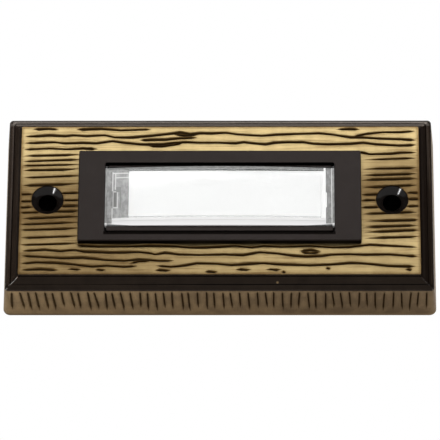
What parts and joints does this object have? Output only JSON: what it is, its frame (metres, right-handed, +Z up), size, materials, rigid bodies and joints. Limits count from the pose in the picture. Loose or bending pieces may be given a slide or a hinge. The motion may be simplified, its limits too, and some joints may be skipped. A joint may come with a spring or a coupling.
{
  "type": "doorbell push button",
  "caption": "Wall plate with a lit, card-bearing push button in a raised frame; antiqued carved face and two countersunk fixing holes.",
  "frame": {"origin": "centre of the plate's back face, on the wall plane", "axes": "+X to the right seen from the front, +Z up as mounted, -Y out from the wall through the button; +Y points into the wall"},
  "size_m": [0.0856, 0.0134, 0.04],
  "materials": {
    "antique_brass": "brushed carved face over dark bronze",
    "frame_black": "satin moulding",
    "clear_cap": "clear polished moulding",
    "white_card": "smooth card",
    "milky_plastic": "translucent",
    "board_brown": "pressed board",
    "spring_bronze": "rolled strip",
    "contact_silver": "dull silver",
    "screw_brass": "turned",
    "zinc_steel": "plated",
    "spring_steel": "bright wire",
    "lamp_amber": "moulded lamp body",
    "resistor_body": "lacquered"
  },
  "bodies": {
    "base": {"face_plate": "antique_brass", "switch_housing": "frame_black", "contact_board": "board_brown", "fixed_contact": "spring_bronze", "leaf_contact": "spring_bronze", "fixed_contact_rivet": "contact_silver", "leaf_contact_rivet": "contact_silver", "strip_rivet": "screw_brass", "leaf_rivet": "screw_brass", "terminal_washer_left": "zinc_steel", "terminal_nut_left": "screw_brass", "terminal_screw_left": "screw_brass", "terminal_washer_right": "zinc_steel", "terminal_nut_right": "screw_brass", "terminal_screw_right": "screw_brass", "board_screw_left": "zinc_steel", "board_screw_right": "zinc_steel", "lamp": "lamp_amber", "resistor": "resistor_body", "return_spring_left": "spring_steel", "return_spring_right": "spring_steel"},
    "button": {"button_carrier": "frame_black", "button_lens": "clear_cap", "light_diffuser": "milky_plastic", "name_card": "white_card"}
  },
  "joints": [
    {"name": "button_press", "type": "slide", "parent": "base", "child": "button", "axis": [0, 1, 0], "range_m": [0, 0.0012], "stiffness_N_per_m": 800, "springref_m": -0.0015, "deforming": ["return_spring_left", "return_spring_right", "leaf_contact", "leaf_contact_rivet"]}
  ]
}
